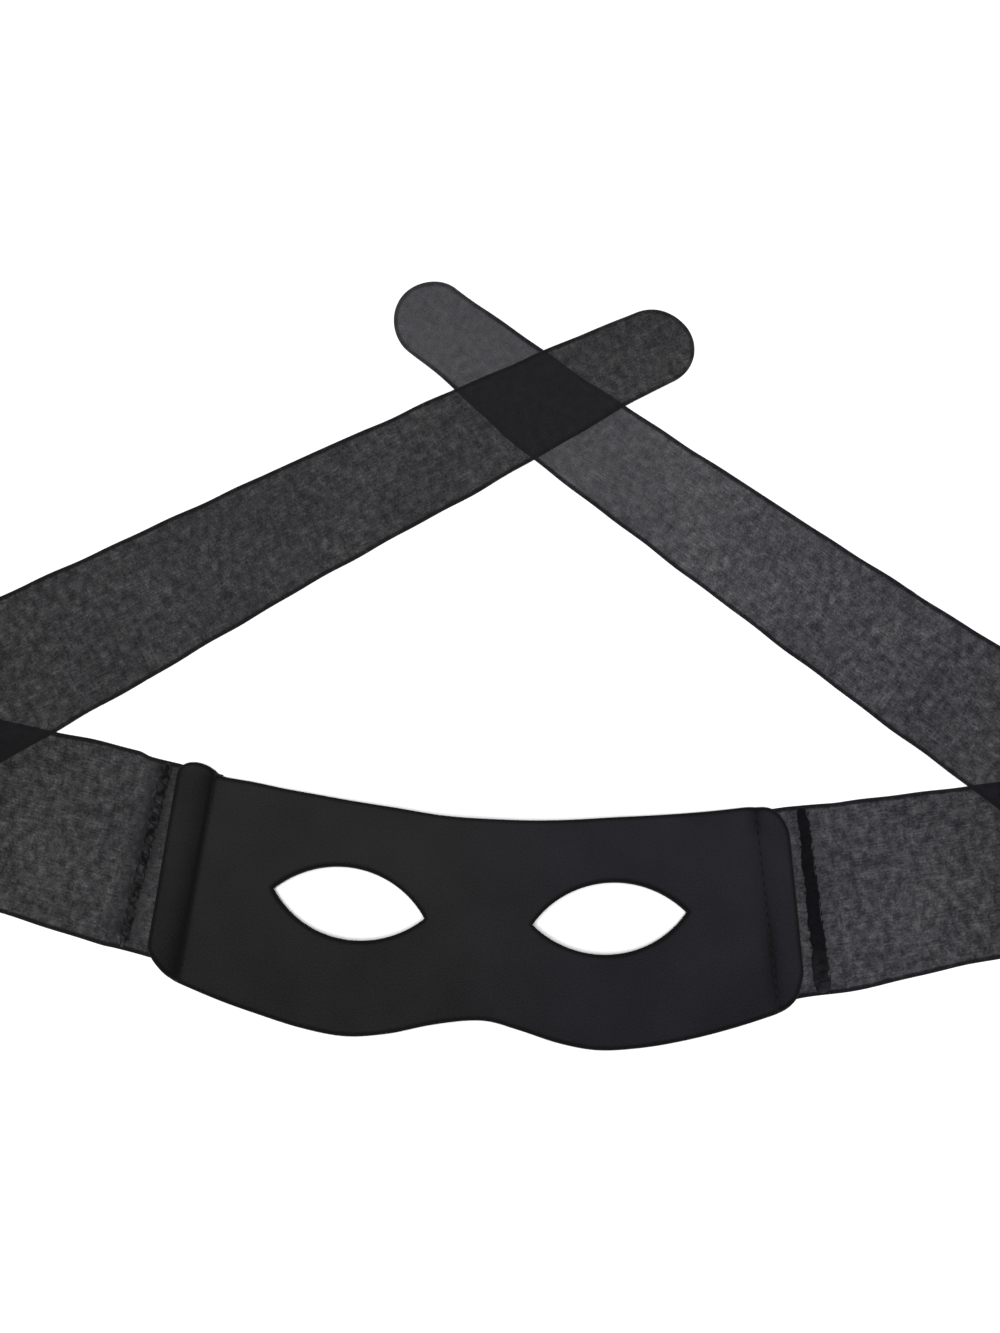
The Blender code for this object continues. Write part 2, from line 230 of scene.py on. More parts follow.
def resample(line, step):
    """An open line cut into even steps, without its last point."""
    lengths = np.linalg.norm(np.diff(line, axis=0), axis=1)
    travelled = np.concatenate([[0.0], np.cumsum(lengths)])
    count = max(1, round(travelled[-1] / step))
    stops = np.linspace(0.0, travelled[-1], count + 1)[:-1]
    return np.stack([np.interp(stops, travelled, line[:, axis]) for axis in (0, 1)], -1)


def softened(loop, passes):
    """A closed outline with its corners eased."""
    for _ in range(passes):
        loop = loop / 2 + (np.roll(loop, 1, 0) + np.roll(loop, -1, 0)) / 4
    return loop


def blocks(count, size=400):
    return np.array_split(np.arange(count), count // size + 1)


def edge_distance(points, loops):
    """Distance of each point from the nearest outline."""
    starts = np.concatenate(loops)
    runs = np.concatenate([np.roll(loop, -1, 0) for loop in loops]) - starts
    squares = (runs ** 2).sum(1)
    nearest = np.empty(len(points))
    for block in blocks(len(points)):
        offsets = points[block, None] - starts
        share = np.clip((offsets * runs).sum(-1) / squares, 0.0, 1.0)
        nearest[block] = np.linalg.norm(offsets - share[..., None] * runs, axis=-1).min(1)
    return nearest


def inside(points, loops):
    """Which points lie within the outer outline and outside the holes."""
    starts = np.concatenate(loops)
    ends = np.concatenate([np.roll(loop, -1, 0) for loop in loops])
    rise = ends[:, 1] - starts[:, 1]
    rise = np.where(rise == 0, 1e-12, rise)
    odd = np.empty(len(points), bool)
    for block in blocks(len(points)):
        x = points[block, 0, None]
        y = points[block, 1, None]
        spans = (starts[:, 1] > y) != (ends[:, 1] > y)
        crossing = starts[:, 0] + (y - starts[:, 1]) * (ends[:, 0] - starts[:, 0]) / rise
        odd[block] = (spans & (crossing > x)).sum(1) % 2 == 1
    return odd


def ring(loop, loops, depth):
    """Points at one depth inside the cloth, along one of its outlines."""
    ahead = np.roll(loop, -1, 0) - np.roll(loop, 1, 0)
    aside = turned(ahead / np.linalg.norm(ahead, axis=1)[:, None], math.pi / 2) * depth
    points = np.concatenate([loop + aside, loop - aside])
    points = points[inside(points, loops)]
    return points[edge_distance(points, loops) > 0.97 * depth]


def fill(loops, depths, step, extra=None):
    """Cuts a flat cloth into triangles: points on its outlines, on rings just inside them, at the
    extra points and on a honeycomb between. Returns the points, the triangles and the depths."""
    points = [np.concatenate(loops)]
    points += [ring(loop, loops, depth) for depth in depths for loop in loops]
    low = points[0].min(0)
    high = points[0].max(0)
    rows = np.arange(low[1], high[1], step * 0.866)
    comb = [np.stack(np.broadcast_arrays(np.arange(low[0], high[0], step) + (i % 2) * step / 2, y), -1)
            for i, y in enumerate(rows)]
    comb = np.concatenate(comb)
    comb = comb[inside(comb, loops)]
    comb = comb[edge_distance(comb, loops) > depths[-1] + 0.6 * step]
    if extra is not None:
        extra = extra[inside(extra, loops)]
        extra = extra[edge_distance(extra, loops) > 1.15 * depths[-1]]
        gap = np.concatenate([np.linalg.norm(comb[block, None] - extra, axis=-1).min(1)
                              for block in blocks(len(comb))])
        comb = comb[gap > 0.6 * step]
        points.append(extra)
    points = np.concatenate(points + [comb])
    edges = []
    first = 0
    for loop in loops:
        ids = np.arange(first, first + len(loop))
        edges += list(zip(ids.tolist(), np.roll(ids, -1).tolist()))
        first += len(loop)
    made = delaunay_2d_cdt([Vector(p) for p in (points * 1000).tolist()], edges, [], 0, 1e-5)
    points = np.array([tuple(p) for p in made[0]]) / 1000
    triangles = np.array([face for face in made[2] if len(face) == 3])
    triangles = triangles[inside(points[triangles].mean(1), loops)]
    return points, triangles, edge_distance(points, loops)


def flat_area(points, triangles):
    a, b, c = (points[triangles[:, i]] for i in range(3))
    return float(np.abs((b[:, 0] - a[:, 0]) * (c[:, 1] - a[:, 1])
                        - (b[:, 1] - a[:, 1]) * (c[:, 0] - a[:, 0])).sum() / 2)


# Cloth meshes

def slopes(place, points, step=2e-5):
    """Directions of a laid cloth along and across its pattern."""
    along = place(points + (step, 0.0)) - place(points - (step, 0.0))
    across = place(points + (0.0, step)) - place(points - (0.0, step))
    return along, across


def cloth_mesh(name, place, points, triangles, half, marks, material):
    """A closed cloth: an upper and a lower surface half a wall from the laid pattern, and the cut
    edge between them. Each mark is a value of every point that the material reads by name."""
    middle = place(points)
    along, across = slopes(place, points)
    normal = np.cross(along, across)
    normal /= np.linalg.norm(normal, axis=1)[:, None]
    if normal[0, 2] < 0:
        normal = -normal
        triangles = triangles[:, ::-1]
    count = len(points)
    shell = np.concatenate([middle + normal * half[:, None], middle - normal * half[:, None]])
    runs = np.concatenate([triangles[:, [0, 1]], triangles[:, [1, 2]], triangles[:, [2, 0]]])
    known = set(map(tuple, runs.tolist()))
    rim = [(b, a, a + count, b + count) for a, b in known if (b, a) not in known]
    faces = triangles.tolist() + (triangles[:, ::-1] + count).tolist() + sorted(rim)
    mesh = bpy.data.meshes.new(name)
    mesh.from_pydata(shell.tolist(), [], faces)
    mesh.materials.append(material)
    uv = mesh.uv_layers.new(name="cloth")
    corner = np.empty(len(mesh.loops), np.int32)
    mesh.loops.foreach_get("vertex_index", corner)
    uv.uv.foreach_set("vector", points[corner % count].astype(np.float32).ravel())
    for label, values in marks.items():
        layer = mesh.attributes.new(label, "FLOAT", "POINT")
        layer.data.foreach_set("value", np.tile(values, 2).astype(np.float32))
    mesh.shade_smooth()
    piece = bpy.data.objects.new(name, mesh)
    bpy.context.scene.collection.objects.link(piece)
    return piece


# The face

SECTION_ROWS = range(len(FACE_SECTIONS))
BROW_ACROSS, BROW, CHEEK_ACROSS, CHEEK, LIFT = (
    curve_through(SECTION_ROWS, [row[i] for row in FACE_SECTIONS]) for i in range(5))


def face_line(place):
    """Brow and cheek points of the face's sections."""
    top = np.stack([BROW_ACROSS(place) * FACE_WIDTH / 2, BROW(place) * BROW_HEIGHT], -1)
    bottom = np.stack([CHEEK_ACROSS(place) * FACE_WIDTH / 2, -CHEEK(place) * CHEEK_DROP], -1)
    return top, bottom


def face_section(points):
    """The section that each point of the face lies on, and its share of the way up it."""
    low = np.zeros(len(points))
    high = np.full(len(points), float(SECTION_ROWS[-1]))
    for _ in range(26):
        middle = (low + high) / 2
        top, bottom = face_line(middle)
        up = top - bottom
        out = points - bottom
        right_of = up[:, 0] * out[:, 1] - up[:, 1] * out[:, 0] < 0
        low = np.where(right_of, middle, low)
        high = np.where(right_of, high, middle)
    top, bottom = face_line(low)
    up = top - bottom
    return low, ((points - bottom) * up).sum(1) / (up ** 2).sum(1)


def groove_across(row, share):
    """How far across the face a groove runs, at shares of the way up it."""
    top, bottom = face_line(np.array([float(row)]))
    return bottom[0, 0] + (top[0, 0] - bottom[0, 0]) * share


def face_height(points):
    place, share = face_section(points)
    across = points[:, 0]
    left = groove_across(LEFT_GROOVE_ROW, share)
    right = groove_across(RIGHT_GROOVE_ROW, share)
    reach = np.where(across < 0, -left, right)
    arch = np.cos(math.pi / 2 * np.minimum(np.abs(across) / reach, 1.0))
    roll = EDGE_ROLL * np.abs(2 * share - 1) ** ROLL_POWER
    ridge = (share - NOSE_CROSSING) * NOSE_LEAN
    nose = NOSE_RISE * np.exp(-((across - ridge) / (NOSE_WIDTH / 2)) ** 2) * (1.0 - NOSE_FADE * share)
    rest = FACE_REST + FACE_WALL / 2 + LIFT(place) * BAND_RISE
    uneven = FACE_UNEVEN * (ripple(points[:, 0] * 1.7, points[:, 1] * 2.3) - 0.5)
    for (depth, width), line in ((LEFT_GROOVE, left), (RIGHT_GROOVE, right)):
        fade = 1.0 - 0.5 * smooth_step((share - 0.75) / 0.3)
        uneven = uneven - depth * fade * np.exp(-((across - line) / width) ** 2)
    return rest + arch * (DOME_RISE - roll) + nose + uneven


def lay_face(points):
    plan = turned(points, FACE_TURN) + PLAN_ORIGIN
    return np.concatenate([plan, face_height(points)[:, None]], 1)


def eye_arc(height, side, up):
    """One arc of an eye hole, from corner to corner, in the order that closes the hole."""
    half = EYE_LENGTH / 2
    radius = (half ** 2 + height ** 2) / (2 * height)
    turns = np.linspace(0.0, math.pi, 200)
    x = half * np.cos(turns) * up
    y = (np.sqrt(radius ** 2 - x ** 2) - (radius - height)) * up
    arc = turned(np.stack([x, y], -1), side * EYE_SLANT)
    return resample(arc + (side * EYE_SPACING / 2, 0.0), OUTLINE_STEP)


def face_outline():
    places = np.linspace(0.0, SECTION_ROWS[-1], 1200)
    top, bottom = face_line(places)
    sides = [bottom, np.stack([bottom[-1], top[-1]]), top[::-1], np.stack([top[0], bottom[0]])]
    return softened(np.concatenate([resample(side, OUTLINE_STEP) for side in sides]), 3)


def rounded_half(depth, wall, radius):
    """Half the wall at a depth from the cut edge, with the edge's corners rounded off."""
    short = np.clip(radius - depth, 0.0, radius)
    return wall / 2 - (radius - np.sqrt(radius ** 2 - short ** 2))


def make_face(material):
    eyes = [np.concatenate([eye_arc(EYE_ARCH, side, 1), eye_arc(EYE_SAG, side, -1)])
            for side in (-1, 1)]
    loops = [face_outline()] + eyes
    shares = np.linspace(0.03, 0.97, 60)
    lines = []
    for row in (LEFT_GROOVE_ROW, RIGHT_GROOVE_ROW):
        top, bottom = face_line(np.array([float(row)]))
        line = bottom + (top - bottom) * shares[:, None]
        lines += [line + (offset, 0.0) for offset in np.linspace(-0.0020, 0.0020, 9)]
    points, triangles, depth = fill(loops, FACE_RINGS, FACE_STEP, np.concatenate(lines))
    half = rounded_half(depth, FACE_WALL, FACE_EDGE_RADIUS)
    _, share = face_section(points)
    fold = np.exp(-((points[:, 0] - groove_across(LEFT_GROOVE_ROW, share)) / 0.0009) ** 2)
    soft = np.exp(-((points[:, 0] - groove_across(RIGHT_GROOVE_ROW, share)) / 0.0018) ** 2)
    beside = groove_across(LEFT_GROOVE_ROW, share) - points[:, 0]
    band = smooth_step(beside / 0.001)
    marks = {
        # rim: painted shade that darkens the colour along the face's cut edges
        "rim": np.exp(-(depth / 0.0008) ** 2),
        # fold: painted shade in the crease of the left groove and, fainter, along the right groove
        "fold": np.maximum(fold, soft * (0.08 + 0.28 * np.exp(-((share - 0.28) / 0.2) ** 2)
                                         + 0.25 * smooth_step((share - 0.82) / 0.1))),
        # band: painted shade over the left end band, darkest beside its groove
        "band": band * (0.15 + 0.85 * np.exp(-(beside / 0.0042) ** 2)),
        # painted highlight along the brow edge of the left band, where its raised wall shows
        "band_wall_highlight": band * np.exp(-((1.0 - share) * 0.060 / 0.0017) ** 2),
    }
    face = cloth_mesh("face_cloth", lay_face, points, triangles, half, marks, material)
    return face, flat_area(points, triangles)


# The ties

class Tie:
    """One tie: its flat pattern, and how it lies when it is folded back over itself."""

    def __init__(self, end, length, width, heading, fold_at, back, edges):
        self.length = length
        self.width = width
        self.fold_at = fold_at
        along = [row[0] for row in edges]
        self.brow = curve_through(along, [row[1] for row in edges])
        self.cheek = curve_through(along, [row[2] for row in edges])
        top, bottom = face_line(np.array([float(end)]))
        self.root = turned((top[0] + bottom[0]) / 2, FACE_TURN)
        self.ahead = np.array([math.cos(heading), math.sin(heading)])
        inward = -math.copysign(1, self.ahead[0])
        self.browward = np.array([abs(self.ahead[1]) * inward, abs(self.ahead[0])])
        self.back = np.array([math.cos(back), math.sin(back)])
        outward = self.ahead - self.back
        self.outward = outward / np.linalg.norm(outward)
        end_line = turned(top[0] - bottom[0], FACE_TURN)
        self.end_slope = end_line.dot(self.ahead) / end_line.dot(self.browward)
        self.fold_slope = -self.browward.dot(self.outward) / self.ahead.dot(self.outward)
        self.fold = self.root + self.ahead * fold_at
        self.tip_radius = (edges[-1][1] + edges[-1][2]) * width / 2

    def span(self, along):
        """Middle and half width at distances along the tie, rounded off at the tip."""
        brow = self.brow(along / self.length) * self.width
        cheek = self.cheek(along / self.length) * self.width
        past = np.clip((along - (self.length - self.tip_radius)) / self.tip_radius, 0.0, 1.0)
        return (brow - cheek) / 2, (brow + cheek) / 2 * np.sqrt(1.0 - past ** 2)

    def skew(self, along):
        """Slope of a row: along the face's end at the root, along the crease at the fold."""
        root = 1.0 - smooth_step(along / (ROOT_SKEW_END * self.fold_at))
        away = np.abs(along - self.fold_at) / self.fold_at
        fold = 1.0 - smooth_step((away - FOLD_SKEW_START) / FOLD_SKEW_REACH)
        return root * self.end_slope + fold * self.fold_slope

    def outline(self):
        """The tie's flat outline: cheek edge to the tip, and back along the brow edge."""
        fine = np.arange(-0.0045, 0.0045, 0.0003) + self.fold_at
        tip = self.length - self.tip_radius
        coarse = np.arange(-TIE_LAP, tip, 0.0010)
        stops = np.union1d(coarse[np.abs(coarse - self.fold_at) > 0.0049], fine)
        arc = tip + self.tip_radius * np.sin(np.linspace(0.0, math.pi / 2, 24))
        stops = np.concatenate([stops, arc])
        middle, half = self.span(stops)
        wobble = EDGE_WOBBLE * (np.sin(stops * 310 + self.width * 900) + np.sin(stops * 173 + 1.0)) / 2
        cheek = middle - half + wobble * (half > 0.002)
        brow = middle + half + wobble[::-1] * (half > 0.002)
        down = np.stack([stops + self.skew(stops) * cheek, cheek], -1)
        up = np.stack([stops + self.skew(stops) * brow, brow], -1)[::-1]
        return np.concatenate([down, up[1:], resample(np.stack([up[-1], down[0]]), 0.0010)[1:]])

    def fold_lines(self):
        """Points on lines beside the crease, close enough together for a round fold."""
        across = np.arange(-self.width / 2, self.width / 2, 0.0020)
        beside = np.concatenate([np.linspace(-0.0026, 0.0026, 15), np.arange(0.0036, 0.0220, 0.0016)])
        along = self.fold_at + beside[:, None] / self.ahead.dot(self.outward) + self.fold_slope * across
        return np.stack([along.ravel(), np.tile(across, len(beside))], -1)

    def over_lower_run(self, plan):
        """Distance of plan points from the lower run, zero or less over it."""
        offset = plan - self.root
        middle, half = self.span(np.clip(offset @ self.ahead, 0.0, self.fold_at))
        return np.abs(offset @ self.browward - middle) - half

    def over_upper_run(self, plan):
        """Distance of plan points from the upper run, zero or less over it."""
        offset = plan - self.fold
        along = self.fold_at + offset @ self.back
        turned_over = self.browward - self.outward * (2 * self.browward.dot(self.outward))
        middle, half = self.span(np.minimum(along, self.length - self.tip_radius))
        return np.maximum(np.abs(offset @ turned_over - middle) - half, along - self.length)

    def lay(self, below=None):
        """The function that lays flat points of this tie, over itself and over the tie below."""
        floor = ROLL_RADIUS
        half_turn = math.pi * FOLD_RADIUS

        def place(points):
            offset = self.ahead * (points[:, :1] - self.fold_at) + self.browward * points[:, 1:]
            past = offset @ self.outward
            flat = self.fold + offset - self.outward * (2 * np.maximum(past, 0.0))[:, None]
            rolled = past + half_turn / 2
            cover = step_down(self.over_lower_run(flat))
            if below:
                cover = np.maximum(cover, step_down(below.over_upper_run(flat)))
            upper = floor + cover * LAYER
            angle = np.clip(rolled / FOLD_RADIUS, 0.0, math.pi)
            settle = smooth_step((rolled - half_turn) / FOLD_SETTLE)
            rolling = (rolled > 0) & (rolled < half_turn)
            out = np.where(rolling, FOLD_RADIUS * np.sin(angle) - half_turn / 2 + np.abs(past), 0.0)
            plan = flat + self.outward * out[:, None] + PLAN_ORIGIN
            height = floor + FOLD_RADIUS * (1 - np.cos(angle))
            height = height + settle * (upper - floor - 2 * FOLD_RADIUS) * (rolled >= half_turn)
            height = height + TIE_UNEVEN * ripple(plan[:, 0], plan[:, 1]) * calm(self, points)
            for start, end, rise, width in CREASES:
                height = height + rise * np.exp(-(crease_distance(plan, start, end) / width) ** 2)
            return np.concatenate([plan, height[:, None]], 1)

        return place


def calm(tie, points):
    """Cloth near the face lies flat under it."""
    return smooth_step((points[:, 0] - 0.004) / 0.02)


def step_down(distance):
    """Share of a full step up, from 1 over the cloth below to 0 well clear of it."""
    return 1.0 - smooth_step((distance - STEP_MARGIN) / STEP_REACH)


def crease_distance(plan, start, end):
    start = np.array(start)
    run = np.array(end) - start
    share = np.clip((plan - start) @ run / run.dot(run), 0.0, 1.0)
    return np.linalg.norm(plan - start - share[:, None] * run, axis=1)


def knit_half(depth):
    """Half the wall of the knit, which rolls up into a bead along its edges."""
    across = np.minimum(depth, 2 * ROLL_RADIUS) - ROLL_RADIUS
    bead = np.sqrt(np.maximum(ROLL_RADIUS ** 2 - across ** 2, 0.0))
    return np.maximum(np.maximum(bead, 0.00005), np.where(depth < ROLL_RADIUS, 0.0, KNIT_WALL / 2))


def make_tie(name, tie, seam, material, below=None):
    outline = tie.outline()
    points, triangles, depth = fill([outline], TIE_RINGS, TIE_STEP, tie.fold_lines())
    place = tie.lay(below)
    plan = place(points)[:, :2]
    crease = np.zeros(len(points))
    for start, end, _, width in CREASES:
        crease = np.maximum(crease, np.exp(-(crease_distance(plan, start, end) / (1.2 * width)) ** 2))
    at_tip = smooth_step((points[:, 0] - tie.length + 0.035) / 0.02)
    marks = {
        "rim": (1.0 - smooth_step((depth - 0.0007) / 0.0008)) * (1.0 - 0.5 * at_tip),
        "crease": crease,
        "seam": np.exp(-((seam_distance(tie, points, seam) - 0.0008) / 0.0026) ** 2),
        "fold": np.exp(-((points[:, 0] - tie.fold_at) / 0.060) ** 2),
    }
    piece = cloth_mesh(name, place, points, triangles, knit_half(depth), marks, material)
    return piece, flat_area(points, triangles)


# Seams and thread

def tube(points, radii, sides=8):
    """A closed round bar along points: its corners and faces."""
    points = np.array(points, float)
    radii = np.broadcast_to(radii, len(points))
    ahead = np.gradient(points, axis=0)
    ahead /= np.linalg.norm(ahead, axis=1)[:, None]
    aside = np.cross(ahead, (0.0, 0.0, 1.0))
    lying = np.linalg.norm(aside, axis=1) < 1e-6
    aside[lying] = (1.0, 0.0, 0.0)
    aside /= np.linalg.norm(aside, axis=1)[:, None]
    up = np.cross(aside, ahead)
    turns = np.arange(sides) * math.tau / sides
    rings = (points[:, None] + radii[:, None, None] * (aside[:, None] * np.cos(turns)[:, None]
                                                       + up[:, None] * np.sin(turns)[:, None]))
    corners = rings.reshape(-1, 3).tolist()
    return corners, ring_faces(len(points), sides)


def joined(name, parts, material):
    """One piece of several closed bars."""
    corners = []
    faces = []
    for part, polygons in parts:
        faces += [tuple(i + len(corners) for i in polygon) for polygon in polygons]
        corners += part
    mesh = bpy.data.meshes.new(name)
    mesh.from_pydata(corners, [], faces)
    mesh.materials.append(material)
    mesh.shade_smooth()
    piece = bpy.data.objects.new(name, mesh)
    bpy.context.scene.collection.objects.link(piece)
    return piece


def seam_distance(tie, points, seam):
    """How far out from a seam's line flat points of a tie lie."""
    _, out, spread, _ = seam
    middle, half = tie.span(np.array([out]))
    share = np.clip((points[:, 1] - middle[0]) / half[0], -1.0, 1.0)
    return points[:, 0] - (out - spread * share + tie.end_slope * points[:, 1])


def across_tie(tie, out, spread, share, offset=0.0):
    """A plan point beside the end of the face: out from it, wider toward the cheek."""
    middle, half = tie.span(np.array([out]))
    across = middle[0] + share * (half[0] - 0.0006)
    along = out - spread * share + tie.end_slope * across + offset
    return tie.root + tie.ahead * along + tie.browward * across + PLAN_ORIGIN


def ring_faces(rings, sides):
    """Faces of a closed bar of rings of corners, with both ends."""
    faces = []
    for i in range(rings - 1):
        for j in range(sides):
            k = (j + 1) % sides
            faces.append((i * sides + j, i * sides + k, (i + 1) * sides + k, (i + 1) * sides + j))
    last = (rings - 1) * sides
    return faces + [tuple(range(sides))[::-1], tuple(range(last, last + sides))]


def seam_roll(tie, seam, lumps):
    """The rolled seam allowance across a tie: a soft ridge that swells between its stitches."""
    width, out, spread, flare = seam
    sides = 14
    stops = np.linspace(-1.0, 1.0, 81)
    corners = []
    for share in stops:
        past = max(0.0, (abs(share) - (1.0 - SEAM_ENDS)) / SEAM_ENDS)
        close = math.sqrt(max(0.0, 1.0 - past ** 2)) * 0.97 + 0.03
        bumps = math.sin(share * 17 + 1) + math.sin(share * 41) + math.sin(share * 29 + 2)
        swell = 1.0 - flare * share + lumps * bumps
        sway = lumps * width * (math.sin(share * 11 + 0.5) + 0.5 * math.sin(share * 33))
        for turn in np.arange(sides) * math.tau / sides:
            offset = math.cos(turn) * width / 2 * close * swell + sway
            plan = across_tie(tie, out, spread, share, offset)
            lift = math.sin(turn) * close * (1.0 - lumps * (1.0 + math.sin(share * 23)))
            corners.append((plan[0], plan[1], SEAM_BASE + SEAM_HEIGHT / 2 * (1 + lift)))
    return corners, ring_faces(len(stops), sides)


def overlock(tie, seam, leg, pitch, radius):
    """Thread over a seam roll: loops over the ridge, with a short leg laid out on the knit."""
    width, out, spread, flare = seam
    loops = []
    count = round(2 * tie.span(np.array([out]))[1][0] / pitch)
    for i in range(count):
        share = -0.93 + 1.86 * (i + 0.5) / count
        lean = 0.93 / count
        reach = width / 2 * (1.0 - flare * share) + 0.0002
        path = []
        for step in range(9):
            turn = math.pi * step / 8
            slanted = share + lean * (step / 8 - 0.5)
            plan = across_tie(tie, out, spread, slanted, -math.cos(turn) * reach)
            height = SEAM_BASE + 0.0001 + math.sin(turn) * (SEAM_HEIGHT + 0.0001)
            path.append((plan[0], plan[1], height))
        end = across_tie(tie, out, spread, share + lean * 1.2, reach + leg)
        half_way = (np.array(path[-1][:2]) + end) / 2
        path.append((half_way[0], half_way[1], SEAM_BASE))
        path.append((end[0], end[1], SEAM_BASE - 0.0003))
        loops.append(tube(path, radius, 6))
    return loops


def groove_stitches(row):
    """Short stitches sunk into a groove of the face, from cheek to brow."""
    top, bottom = face_line(np.array([float(row)]))
    reach = np.linalg.norm(top[0] - bottom[0])
    count = int(reach * 0.9 / STITCH_PITCH)
    stitches = []
    for i in range(count):
        middle = 0.5 + (i + 0.5 - count / 2) * STITCH_PITCH / reach
        steps = np.linspace(-1.0, 1.0, 5)
        shares = middle + steps * STITCH_LENGTH / 2 / reach
        path = lay_face(bottom[0] + (top[0] - bottom[0]) * shares[:, None])
        path[:, 2] += FACE_WALL / 2 + STITCH_RADIUS * (0.6 - 2.2 * steps ** 2)
        stitches.append(tube(path, STITCH_RADIUS * np.array([0.5, 0.9, 1.0, 0.9, 0.5]), 6))
    return stitches


# Materials

def node(tree, kind, inputs=None, output=0, **settings):
    """Adds a node, sets or links its inputs, and gives back one of its outputs."""
    made = tree.nodes.new(kind)
    for key, value in settings.items():
        setattr(made, key, value)
    for key, value in (inputs or {}).items():
        if isinstance(value, bpy.types.NodeSocket):
            tree.links.new(value, made.inputs[key])
        else:
            made.inputs[key].default_value = value
    return made.outputs[output]


def sums(tree, *terms):
    """Adds up terms, each a value or a value and its weight."""
    total = 0.0
    for value, weight in terms:
        total = node(tree, "ShaderNodeMath", {0: value, 1: weight, 2: total}, operation="MULTIPLY_ADD")
    return total


def product(tree, first, second):
    return node(tree, "ShaderNodeMath", {0: first, 1: second}, operation="MULTIPLY")


def noise(tree, where, scale, detail=2.0, stretch=(1.0, 1.0, 1.0)):
    """Noise from -0.5 to 0.5, scale in cells a metre."""
    vector = node(tree, "ShaderNodeVectorMath", {0: where, 1: stretch}, operation="MULTIPLY")
    value = node(tree, "ShaderNodeTexNoise", {"Vector": vector, "Scale": scale, "Detail": detail})
    return node(tree, "ShaderNodeMath", {0: value, 1: 0.5}, operation="SUBTRACT")


def knit(tree, where, wale, course):
    """Rows of small V-shaped loops, from 0 to 1."""
    split = node(tree, "ShaderNodeSeparateXYZ", {0: where})
    along = split
    across = split.node.outputs[1]
    column = product(tree, across, math.tau / wale)
    column = node(tree, "ShaderNodeMath", {0: column}, operation="COSINE")
    row = product(tree, along, math.tau / course)
    row = sums(tree, (row, 1.0), (column, 2.2))
    row = node(tree, "ShaderNodeMath", {0: row}, operation="SINE")
    return sums(tree, (row, 0.3), (column, 0.2), (1.0, 0.5))


def new_material(name, roughness, specular, sheen):
    material = bpy.data.materials.new(name)
    material.use_nodes = True
    tree = material.node_tree
    shader = tree.nodes["Principled BSDF"]
    shader.inputs["Roughness"].default_value = roughness
    shader.inputs["Specular IOR Level"].default_value = specular
    shader.inputs["Sheen Weight"].default_value = sheen
    shader.inputs["Sheen Roughness"].default_value = 0.6
    return material, tree, shader


def mixed(tree, dark, light, share, clamp=True):
    return node(tree, "ShaderNodeMix", {"A": dark, "B": light, "Factor": share}, output=2,
                data_type="RGBA", clamp_factor=clamp)


def tinted(tree, shader, dark, light, share):
    tree.links.new(mixed(tree, dark, light, share), shader.inputs["Base Color"])


def bumped(tree, shader, height, depth):
    bump = node(tree, "ShaderNodeBump", {"Height": height, "Distance": depth, "Strength": 1.0})
    tree.links.new(bump, shader.inputs["Normal"])


def mark(tree, name):
    return node(tree, "ShaderNodeAttribute", output=2, attribute_name=name)


def ramp(tree, value, start, end, low, high):
    """Goes smoothly from low to high while the value goes from start to end."""
    inputs = {"Value": value, "From Min": start, "From Max": end, "To Min": low, "To Max": high}
    return node(tree, "ShaderNodeMapRange", inputs, interpolation_type="SMOOTHSTEP")


def face_material():
    material, tree, shader = new_material("face_foam_cloth", 0.9, 0.10, 0.03)
    where = node(tree, "ShaderNodeUVMap", uv_map="cloth")
    across = node(tree, "ShaderNodeSeparateXYZ", {0: where})
    up = across.node.outputs[1]
    fine = noise(tree, where, 2200, 2.0)
    cloud = noise(tree, where, 45, 3.0)
    weave = knit(tree, where, 0.00062, 0.00055)
    # Painted light: the colour turns lighter toward the brow and darker toward the cheeks
    share = sums(tree, (fine, 1.1), (cloud, 0.6), (weave, 0.15), (mark(tree, "rim"), -1.5),
                 (mark(tree, "fold"), -2.0), (mark(tree, "band"), -0.60), (mark(tree, "band_wall_highlight"), 0.25),
                 (ramp(tree, up, -0.032, 0.025, -0.09, 0.12), 1.0), (1.0, 0.55))
    # The right half of the face is a little darker and bluer than the left: painted shade, as from
    # light on the left, with a blue tint
    cloth = mixed(tree, (0.0145, 0.0145, 0.0152, 1.0), (0.0133, 0.0127, 0.0172, 1.0),
                  ramp(tree, across, -0.02, 0.05, 0.0, 1.0))
    # Painted highlight: the brow edge of the left band turns toward a lighter olive colour
    cloth = mixed(tree, cloth, (0.0190, 0.0190, 0.0110, 1.0), mark(tree, "band_wall_highlight"))
    tinted(tree, shader, (0.0012, 0.0012, 0.0014, 1.0), cloth, share)
    bumped(tree, shader, sums(tree, (weave, 0.5), (fine, 0.8)), 0.00012)
    return material


